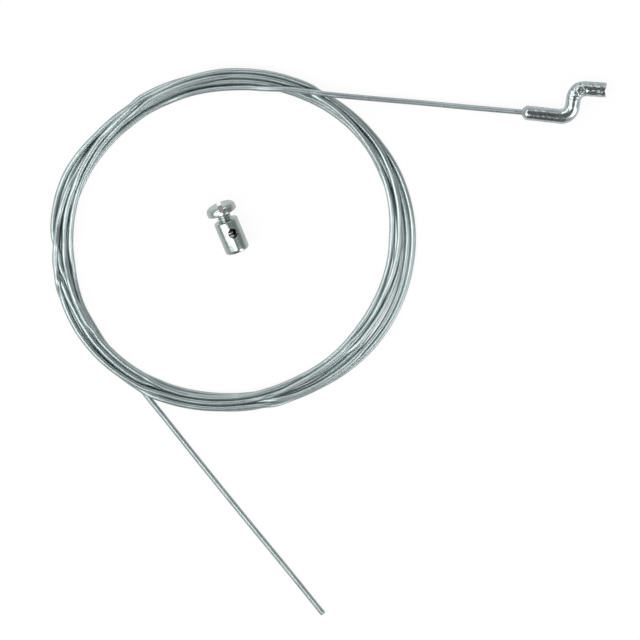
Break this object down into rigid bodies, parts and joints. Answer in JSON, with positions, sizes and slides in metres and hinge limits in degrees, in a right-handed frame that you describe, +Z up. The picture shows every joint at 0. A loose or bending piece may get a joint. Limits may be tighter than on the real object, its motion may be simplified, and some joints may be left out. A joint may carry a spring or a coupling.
{
  "type": "throttle cable",
  "caption": "Stranded steel throttle inner cable with a crimped Z-bend end, wound in a coil, and its loose barrel clamp with a slotted screw.",
  "frame": {"origin": "middle of the whole part's box, on the surface that it lies on", "axes": "+Z up from the surface, +X from the coil towards the Z end, +Y away from the cable's bare end"},
  "size_m": [0.1586, 0.1578, 0.0086],
  "materials": {
    "wire_rope": "galvanised steel strands, cool grey, satin",
    "plated_tube": "bright zinc plate over drawn tube, slightly pitted at the bends",
    "plated_barrel": "bright zinc plate over turned steel",
    "plated_screw": "bright zinc plate over a cold-headed screw"
  },
  "bodies": {
    "cable": {"cable_coil": "wire_rope", "cable_z_lead": "wire_rope", "cable_free_end": "wire_rope", "z_fitting": "plated_tube", "clamp_barrel": "plated_barrel"},
    "screw": {"clamp_screw": "plated_screw"}
  },
  "joints": [
    {"name": "clamp_screw_travel", "type": "slide", "parent": "cable", "child": "screw", "axis": [-0.3818, 0.9218, 0.0665], "range_m": [-0.0012, 0.003]}
  ]
}
